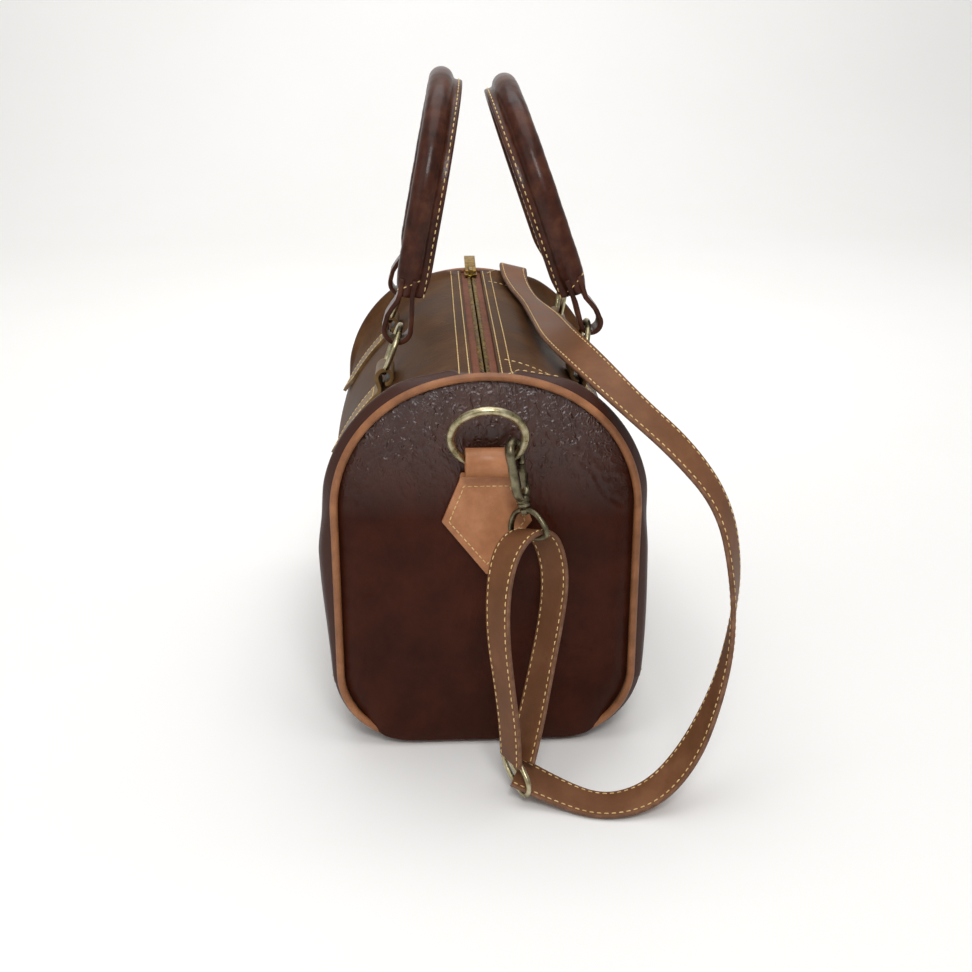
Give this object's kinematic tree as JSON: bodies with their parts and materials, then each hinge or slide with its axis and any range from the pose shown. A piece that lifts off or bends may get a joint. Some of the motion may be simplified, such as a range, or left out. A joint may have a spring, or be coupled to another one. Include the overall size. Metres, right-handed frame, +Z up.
{
  "type": "barrel bag",
  "caption": "Leather barrel bag with a zip mouth, rolled handles on rings and a shoulder strap clipped to end rings.",
  "frame": {"origin": "middle of the base, on the ground, without the shoulder strap", "axes": "+Z up, +X towards the end with the strap adjuster, -Y towards the front"},
  "size_m": [0.428, 0.225, 0.3783],
  "materials": {
    "body_leather": "glossy oxblood brown",
    "trim_leather": "satin tan",
    "lining_cloth": "plain woven",
    "board": "pressed fibre board",
    "zip_tape": "woven rust brown",
    "zip_brass": "antique",
    "ring_brass": "pale antique",
    "handle_leather": "glossy dark brown",
    "handle_cord": "twisted cord",
    "hook_brass": "dark antique",
    "spring_steel": "plain",
    "strap_leather": "satin tan"
  },
  "bodies": {
    "bag": {"front_panel": "body_leather", "rear_panel": "body_leather", "base_panel": "body_leather", "near_end_panel": "body_leather", "far_end_panel": "body_leather", "near_piping": "trim_leather", "far_piping": "trim_leather", "body_lining": "lining_cloth", "near_end_lining": "lining_cloth", "far_end_lining": "lining_cloth", "base_board": "board", "rear_zip_tape": "zip_tape", "rear_zip_teeth": "zip_brass", "near_zip_end": "zip_tape", "far_zip_end": "zip_tape", "near_zip_stop": "zip_brass", "far_zip_stop": "zip_brass", "front_near_chape": "trim_leather", "front_far_chape": "trim_leather", "rear_near_chape": "trim_leather", "rear_far_chape": "trim_leather", "near_end_tab": "trim_leather", "far_end_tab": "trim_leather", "strap_main": "strap_leather", "strap_loop": "strap_leather", "adjuster_slide": "hook_brass", "adjuster_bar": "hook_brass"},
    "mouth_flap": {"front_mouth_flap": "body_leather", "flap_lining": "lining_cloth", "front_zip_tape": "zip_tape", "front_zip_teeth": "zip_brass"},
    "slider": {"zip_slider": "zip_brass"},
    "pull": {"zip_pull": "zip_brass"},
    "front_rings": {"front_near_ring": "ring_brass", "front_far_ring": "ring_brass"},
    "rear_rings": {"rear_near_ring": "ring_brass", "rear_far_ring": "ring_brass"},
    "front_handle": {"front_handle_cover": "handle_leather", "front_handle_core": "handle_cord", "front_near_handle_loop": "handle_leather", "front_far_handle_loop": "handle_leather"},
    "rear_handle": {"rear_handle_cover": "handle_leather", "rear_handle_core": "handle_cord", "rear_near_handle_loop": "handle_leather", "rear_far_handle_loop": "handle_leather"},
    "near_ring": {"near_end_ring": "ring_brass"},
    "near_hook": {"near_hook": "hook_brass", "near_gate_pin": "hook_brass", "near_gate_spring": "spring_steel"},
    "near_gate": {"near_gate": "hook_brass"},
    "near_eye": {"near_swivel_eye": "hook_brass"},
    "far_ring": {"far_end_ring": "ring_brass"},
    "far_hook": {"far_hook": "hook_brass", "far_gate_pin": "hook_brass", "far_gate_spring": "spring_steel"},
    "far_gate": {"far_gate": "hook_brass"},
    "far_eye": {"far_swivel_eye": "hook_brass"}
  },
  "joints": [
    {"name": "mouth_fold", "type": "hinge", "parent": "bag", "child": "mouth_flap", "pos_m": [0, -0.04385, 0.21235], "axis": [1, 0, 0], "range_deg": [0, 45]},
    {"name": "zip_travel", "type": "slide", "parent": "bag", "child": "slider", "axis": [1, 0, 0], "range_m": [0, 0.262]},
    {"name": "pull_flip", "type": "hinge", "parent": "slider", "child": "pull", "pos_m": [-0.131, 0, 0.22785], "axis": [0, 1, 0], "range_deg": [0, 162]},
    {"name": "front_ring_swing", "type": "hinge", "parent": "bag", "child": "front_rings", "pos_m": [0, -0.058, 0.20777], "axis": [1, 0, 0], "range_deg": [0, 76]},
    {"name": "front_handle_swing", "type": "hinge", "parent": "front_rings", "child": "front_handle", "pos_m": [0, -0.04743, 0.23531], "axis": [1, 0, 0], "range_deg": [0, 80]},
    {"name": "rear_ring_swing", "type": "hinge", "parent": "bag", "child": "rear_rings", "pos_m": [0, 0.058, 0.20777], "axis": [-1, 0, 0], "range_deg": [0, 75]},
    {"name": "rear_handle_swing", "type": "hinge", "parent": "rear_rings", "child": "rear_handle", "pos_m": [0, 0.06312, 0.23682], "axis": [-1, 0, 0], "range_deg": [0, 88]},
    {"name": "near_ring_swing", "type": "hinge", "parent": "bag", "child": "near_ring", "pos_m": [0.15685, 0, 0.18], "axis": [0, 1, 0], "range_deg": [0, 45], "deforming": ["strap_loop"]},
    {"name": "near_hook_hang", "type": "hinge", "parent": "near_ring", "child": "near_hook", "pos_m": [0.15975, 0.01486, 0.18595], "axis": [0, 1, 0], "range_deg": [-45, 0], "deforming": ["strap_loop"]},
    {"name": "near_gate_press", "type": "hinge", "parent": "near_hook", "child": "near_gate", "pos_m": [0.15699, 0.02092, 0.16623], "axis": [0.4442, 0.8719, 0.2059], "range_deg": [0, 20], "stiffness_Nm_per_rad": 0.02, "springref_deg": -11.46},
    {"name": "near_swivel", "type": "hinge", "parent": "near_hook", "child": "near_eye", "pos_m": [0.15975, 0.01486, 0.18595], "axis": [-0.1174, -0.1712, 0.9782], "range_deg": [-15, 15], "deforming": ["strap_loop"]},
    {"name": "far_ring_swing", "type": "hinge", "parent": "bag", "child": "far_ring", "pos_m": [-0.15685, 0, 0.18], "axis": [0, -1, 0], "range_deg": [0, 45], "deforming": ["strap_main"]},
    {"name": "far_hook_hang", "type": "hinge", "parent": "far_ring", "child": "far_hook", "pos_m": [-0.15975, 0.01486, 0.18595], "axis": [0, -1, 0], "range_deg": [-45, 0], "deforming": ["strap_main"]},
    {"name": "far_gate_press", "type": "hinge", "parent": "far_hook", "child": "far_gate", "pos_m": [-0.15699, 0.02092, 0.16623], "axis": [0.4442, -0.8719, -0.2059], "range_deg": [0, 20], "stiffness_Nm_per_rad": 0.02, "springref_deg": -11.46},
    {"name": "far_swivel", "type": "hinge", "parent": "far_hook", "child": "far_eye", "pos_m": [-0.15975, 0.01486, 0.18595], "axis": [0.1174, -0.1712, 0.9782], "range_deg": [-15, 15], "deforming": ["strap_main"]}
  ],
  "couplings": [
    {"joint": "near_hook_hang", "follows": "near_ring_swing", "ratio": -1},
    {"joint": "far_hook_hang", "follows": "far_ring_swing", "ratio": -1}
  ]
}
